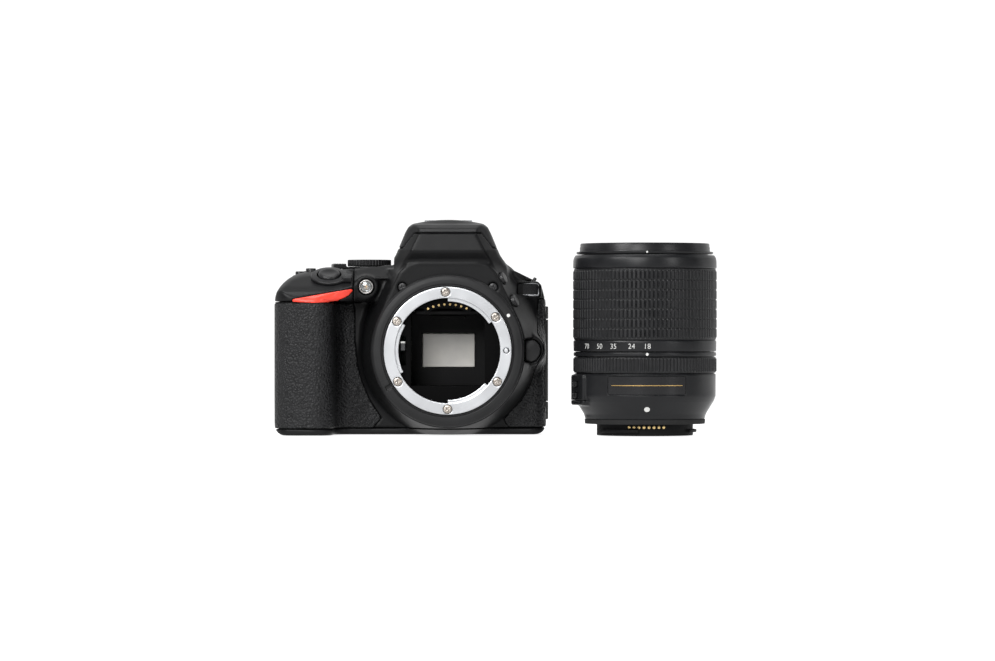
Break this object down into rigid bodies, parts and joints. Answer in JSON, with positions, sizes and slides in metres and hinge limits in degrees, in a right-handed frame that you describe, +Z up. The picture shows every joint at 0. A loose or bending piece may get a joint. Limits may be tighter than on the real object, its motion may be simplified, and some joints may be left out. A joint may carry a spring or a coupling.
{
  "type": "digital single-lens reflex camera",
  "caption": "Black interchangeable-lens reflex camera with a deep grip, open lens mount, pop-up flash and swing-out monitor, with its zoom lens standing beside it.",
  "frame": {"origin": "mouth of the tripod socket, on the base plane under the lens axis", "axes": "+X to the right seen from the front, -Y out of the lens mount towards the subject, +Z up"},
  "size_m": [0.1989, 0.0864, 0.097],
  "materials": {
    "cover_black": "fine grain",
    "leatherette": "pebbled leatherette",
    "accent_red": "satin",
    "lamp_amber": "polished bezel with a warm lens",
    "collar_black": "satin",
    "mount_steel": "turned, bright",
    "screw_steel": "bright",
    "flocked_black": "dead matt",
    "contact_gold": "polished",
    "shutter_black": "matt",
    "sensor_glass": "glossy filter glass on a ceramic package",
    "board_green": "solder mask",
    "battery_grey": "matt",
    "card_blue": "matt",
    "clear_glass": "ground",
    "pentamirror_silver": "silvered plastic",
    "eyecup_rubber": "soft rubber",
    "shoe_steel": "pressed steel",
    "mirror_silver": "front-silvered glass",
    "lever_white": "satin",
    "button_black": "satin",
    "socket_rubber": "soft rubber",
    "ring_rubber": "ribbed rubber",
    "screen_glass": "glossy",
    "barrel_black": "satin",
    "front_glass": "multi-coated"
  },
  "bodies": {
    "camera_body": {"front_cover": "cover_black", "top_cover": "cover_black", "rear_cover": "cover_black", "bottom_cover": "cover_black", "grip_rubber": "leatherette", "side_rubber": "leatherette", "thumb_rubber": "leatherette", "grip_accent": "accent_red", "assist_lamp": "lamp_amber", "mount_collar": "collar_black", "mount_ring": "mount_steel", "screws": "screw_steel", "mirror_box": "flocked_black", "contact_pins": "contact_gold", "shutter_frame": "shutter_black", "image_sensor": "sensor_glass", "circuit_boards": "board_green", "battery": "battery_grey", "memory_card": "card_blue", "focusing_screen": "clear_glass", "pentamirror": "pentamirror_silver", "eyepiece_lens": "clear_glass", "eyecup": "eyecup_rubber", "hot_shoe": "shoe_steel", "strap_lugs": "shoe_steel", "tripod_socket": "shoe_steel"},
    "sub_mirror": {"sub_mirror": "mirror_silver"},
    "reflex_mirror": {"reflex_mirror": "mirror_silver"},
    "shutter_curtain": {"shutter_curtain": "shutter_black"},
    "aperture_lever": {"aperture_lever": "lever_white"},
    "lens_lock_pin": {"lens_lock_pin": "mount_steel"},
    "lens_release_button": {"lens_release_button": "button_black"},
    "flash_button": {"flash_button": "button_black"},
    "function_button": {"function_button": "button_black"},
    "shutter_button": {"shutter_button": "button_black"},
    "power_switch": {"power_switch": "button_black"},
    "mode_dial": {"mode_dial": "button_black"},
    "live_view_lever": {"live_view_lever": "button_black"},
    "record_button": {"record_button": "button_black"},
    "exposure_button": {"exposure_button": "button_black"},
    "command_dial": {"command_dial": "button_black"},
    "flash_head": {"flash_head": "cover_black"},
    "multi_selector": {"multi_selector": "button_black"},
    "ok_button": {"ok_button": "button_black"},
    "playback_button": {"playback_button": "button_black"},
    "battery_door": {"battery_door": "cover_black"},
    "card_door": {"card_door": "cover_black"},
    "socket_cover": {"socket_cover": "socket_rubber"},
    "focus_ring": {"focus_ring": "ring_rubber"},
    "focus_mode_switch": {"focus_mode_switch": "button_black"},
    "stabiliser_switch": {"stabiliser_switch": "button_black"},
    "monitor": {"monitor_housing": "cover_black", "monitor_screen": "screen_glass"},
    "zoom_lens": {"lens_bayonet": "mount_steel", "lens_barrel": "barrel_black", "rear_element": "front_glass"},
    "zoom_ring": {"zoom_ring": "barrel_black", "zoom_grip": "ring_rubber"},
    "inner_barrel": {"inner_barrel": "barrel_black", "front_element": "front_glass"}
  },
  "joints": [
    {"name": "shutter_press", "type": "slide", "parent": "camera_body", "child": "shutter_button", "axis": [0, 0.454, -0.891], "range_m": [0, 0.0012], "stiffness_N_per_m": 1200},
    {"name": "power_turn", "type": "hinge", "parent": "camera_body", "child": "power_switch", "pos_m": [-0.0535, -0.018, 0.0707], "axis": [0, -0.454, 0.891], "range_deg": [0, 35]},
    {"name": "mode_dial_turn", "type": "hinge", "parent": "camera_body", "child": "mode_dial", "pos_m": [-0.036, 0.004, 0.076], "axis": [0, 0, 1], "continuous": true},
    {"name": "live_view_turn", "type": "hinge", "parent": "camera_body", "child": "live_view_lever", "pos_m": [-0.036, 0.004, 0.076], "axis": [0, 0, -1], "range_deg": [0, 20], "stiffness_Nm_per_rad": 0.05},
    {"name": "command_dial_turn", "type": "hinge", "parent": "camera_body", "child": "command_dial", "pos_m": [-0.06, 0.015, 0.072], "axis": [0, 0, 1], "continuous": true},
    {"name": "record_press", "type": "slide", "parent": "camera_body", "child": "record_button", "axis": [0, 0, -1], "range_m": [0, 0.0007], "stiffness_N_per_m": 600},
    {"name": "exposure_press", "type": "slide", "parent": "camera_body", "child": "exposure_button", "axis": [0, 0, -1], "range_m": [0, 0.0007], "stiffness_N_per_m": 600},
    {"name": "flash_button_press", "type": "slide", "parent": "camera_body", "child": "flash_button", "axis": [-0.8568, 0.3289, -0.3971], "range_m": [0, 0.0007], "stiffness_N_per_m": 600},
    {"name": "function_press", "type": "slide", "parent": "camera_body", "child": "function_button", "axis": [-0.8568, 0.3289, -0.3971], "range_m": [0, 0.0007], "stiffness_N_per_m": 600},
    {"name": "lens_release_press", "type": "slide", "parent": "camera_body", "child": "lens_release_button", "axis": [0, 1, 0], "range_m": [0, 0.002], "stiffness_N_per_m": 1500},
    {"name": "lock_pin_retract", "type": "slide", "parent": "camera_body", "child": "lens_lock_pin", "axis": [0, 1, 0], "range_m": [0, 0.002]},
    {"name": "aperture_lever_travel", "type": "slide", "parent": "camera_body", "child": "aperture_lever", "axis": [0, 0, -1], "range_m": [0, 0.006]},
    {"name": "mirror_swing", "type": "hinge", "parent": "camera_body", "child": "reflex_mirror", "pos_m": [0, 0.0052, 0.0552], "axis": [1, 0, 0], "range_deg": [0, 45]},
    {"name": "sub_mirror_fold", "type": "hinge", "parent": "reflex_mirror", "child": "sub_mirror", "pos_m": [0, -0.01, 0.0533], "axis": [-1, 0, 0], "range_deg": [0, 90]},
    {"name": "shutter_travel", "type": "slide", "parent": "camera_body", "child": "shutter_curtain", "axis": [0, 0, 1], "range_m": [0, 0.017]},
    {"name": "flash_swing", "type": "hinge", "parent": "camera_body", "child": "flash_head", "pos_m": [0, -0.0069, 0.0942], "axis": [-1, 0, 0], "range_deg": [0, 70]},
    {"name": "monitor_swing", "type": "hinge", "parent": "camera_body", "child": "monitor", "pos_m": [0.0425, 0.026, 0.033], "axis": [0, 0, -1], "range_deg": [0, 180]},
    {"name": "selector_rock", "type": "hinge", "parent": "camera_body", "child": "multi_selector", "pos_m": [-0.056, 0.0206, 0.038], "axis": [1, 0, 0], "range_deg": [-3, 3], "stiffness_Nm_per_rad": 0.3},
    {"name": "ok_press", "type": "slide", "parent": "camera_body", "child": "ok_button", "axis": [0, -1, 0], "range_m": [0, 0.0006], "stiffness_N_per_m": 600},
    {"name": "playback_press", "type": "slide", "parent": "camera_body", "child": "playback_button", "axis": [0, -1, 0], "range_m": [0, 0.0006], "stiffness_N_per_m": 600},
    {"name": "battery_door_swing", "type": "hinge", "parent": "camera_body", "child": "battery_door", "pos_m": [-0.0566, -0.007, 0.00095], "axis": [0, -1, 0], "range_deg": [0, 90]},
    {"name": "card_door_swing", "type": "hinge", "parent": "camera_body", "child": "card_door", "pos_m": [-0.07705, 0.0152, 0.033], "axis": [0, 0, -1], "range_deg": [0, 100]},
    {"name": "socket_cover_swing", "type": "hinge", "parent": "camera_body", "child": "socket_cover", "pos_m": [0.0435, -0.0018, 0.034], "axis": [0, 0, -1], "range_deg": [0, 90]},
    {"name": "lens_lift", "type": "slide", "parent": "camera_body", "child": "zoom_lens", "axis": [0, 0, 1], "range_m": [0, 0.12]},
    {"name": "zoom_turn", "type": "hinge", "parent": "zoom_lens", "child": "zoom_ring", "pos_m": [0.0885, -0.022, 0.06], "axis": [0, 0, 1], "range_deg": [0, 75]},
    {"name": "zoom_extend", "type": "slide", "parent": "zoom_lens", "child": "inner_barrel", "axis": [0, 0, 1], "range_m": [0, 0.035]},
    {"name": "focus_turn", "type": "hinge", "parent": "zoom_lens", "child": "focus_ring", "pos_m": [0.0885, -0.022, 0.032], "axis": [0, 0, 1], "range_deg": [0, 90]},
    {"name": "focus_mode_slide", "type": "slide", "parent": "zoom_lens", "child": "focus_mode_switch", "axis": [0.2924, -0.9563, 0], "range_m": [0, 0.002]},
    {"name": "stabiliser_slide", "type": "slide", "parent": "zoom_lens", "child": "stabiliser_switch", "axis": [0.2924, -0.9563, 0], "range_m": [0, 0.002]}
  ],
  "couplings": [
    {"joint": "lock_pin_retract", "follows": "lens_release_press", "ratio": 1},
    {"joint": "sub_mirror_fold", "follows": "mirror_swing", "ratio": 2},
    {"joint": "zoom_extend", "follows": "zoom_turn", "m_per_rad": 0.0267}
  ]
}
